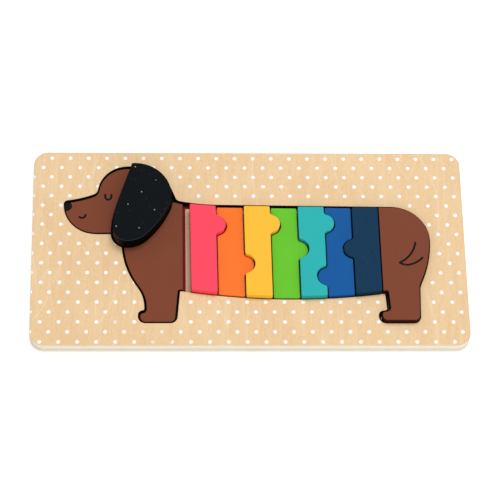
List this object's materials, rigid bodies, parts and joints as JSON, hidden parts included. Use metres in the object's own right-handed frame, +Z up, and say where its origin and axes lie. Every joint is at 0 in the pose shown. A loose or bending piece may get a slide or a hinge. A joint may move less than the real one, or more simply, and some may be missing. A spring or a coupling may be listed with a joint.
{
  "type": "wooden inset puzzle",
  "caption": "Wooden inset puzzle of a long sleeping dog: a tray of two boards with a dog-shaped recess, and loose body slices in rainbow colours that lock together by round tabs.",
  "frame": {"origin": "middle of the tray's underside", "axes": "+X along the tray from the dog's nose to its rump, +Y from its soles to its back, +Z up from the table"},
  "size_m": [0.3, 0.15, 0.019],
  "materials": {
    "tray_board": "pale plywood, clear matt coat, printed with white dots",
    "backing_board": "pale plywood, clear matt coat",
    "brown_paint": "painted, satin",
    "black_paint": "painted, satin",
    "pink_paint": "painted, satin",
    "orange_paint": "painted, satin",
    "yellow_paint": "painted, satin",
    "green_paint": "painted, satin",
    "teal_paint": "painted, satin",
    "blue_paint": "painted, satin",
    "navy_paint": "painted, satin"
  },
  "bodies": {
    "tray": {"tray_frame": "tray_board", "tray_backing": "backing_board"},
    "face_piece": {"face": "brown_paint"},
    "ear_piece": {"ear": "black_paint"},
    "chest_piece": {"chest": "brown_paint"},
    "pink_piece": {"pink_slice": "pink_paint"},
    "orange_piece": {"orange_slice": "orange_paint"},
    "yellow_piece": {"yellow_slice": "yellow_paint"},
    "green_piece": {"green_slice": "green_paint"},
    "teal_piece": {"teal_slice": "teal_paint"},
    "blue_piece": {"blue_slice": "blue_paint"},
    "navy_piece": {"navy_slice": "navy_paint"},
    "haunch_piece": {"haunch": "brown_paint"}
  },
  "joints": [
    {"name": "face_lift", "type": "slide", "parent": "tray", "child": "face_piece", "axis": [0, 0, 1], "range_m": [0, 0.025]},
    {"name": "ear_lift", "type": "slide", "parent": "tray", "child": "ear_piece", "axis": [0, 0, 1], "range_m": [0, 0.025]},
    {"name": "chest_lift", "type": "slide", "parent": "tray", "child": "chest_piece", "axis": [0, 0, 1], "range_m": [0, 0.025]},
    {"name": "pink_lift", "type": "slide", "parent": "tray", "child": "pink_piece", "axis": [0, 0, 1], "range_m": [0, 0.025]},
    {"name": "orange_lift", "type": "slide", "parent": "tray", "child": "orange_piece", "axis": [0, 0, 1], "range_m": [0, 0.025]},
    {"name": "yellow_lift", "type": "slide", "parent": "tray", "child": "yellow_piece", "axis": [0, 0, 1], "range_m": [0, 0.025]},
    {"name": "green_lift", "type": "slide", "parent": "tray", "child": "green_piece", "axis": [0, 0, 1], "range_m": [0, 0.025]},
    {"name": "teal_lift", "type": "slide", "parent": "tray", "child": "teal_piece", "axis": [0, 0, 1], "range_m": [0, 0.025]},
    {"name": "blue_lift", "type": "slide", "parent": "tray", "child": "blue_piece", "axis": [0, 0, 1], "range_m": [0, 0.025]},
    {"name": "navy_lift", "type": "slide", "parent": "tray", "child": "navy_piece", "axis": [0, 0, 1], "range_m": [0, 0.025]},
    {"name": "haunch_lift", "type": "slide", "parent": "tray", "child": "haunch_piece", "axis": [0, 0, 1], "range_m": [0, 0.025]}
  ]
}
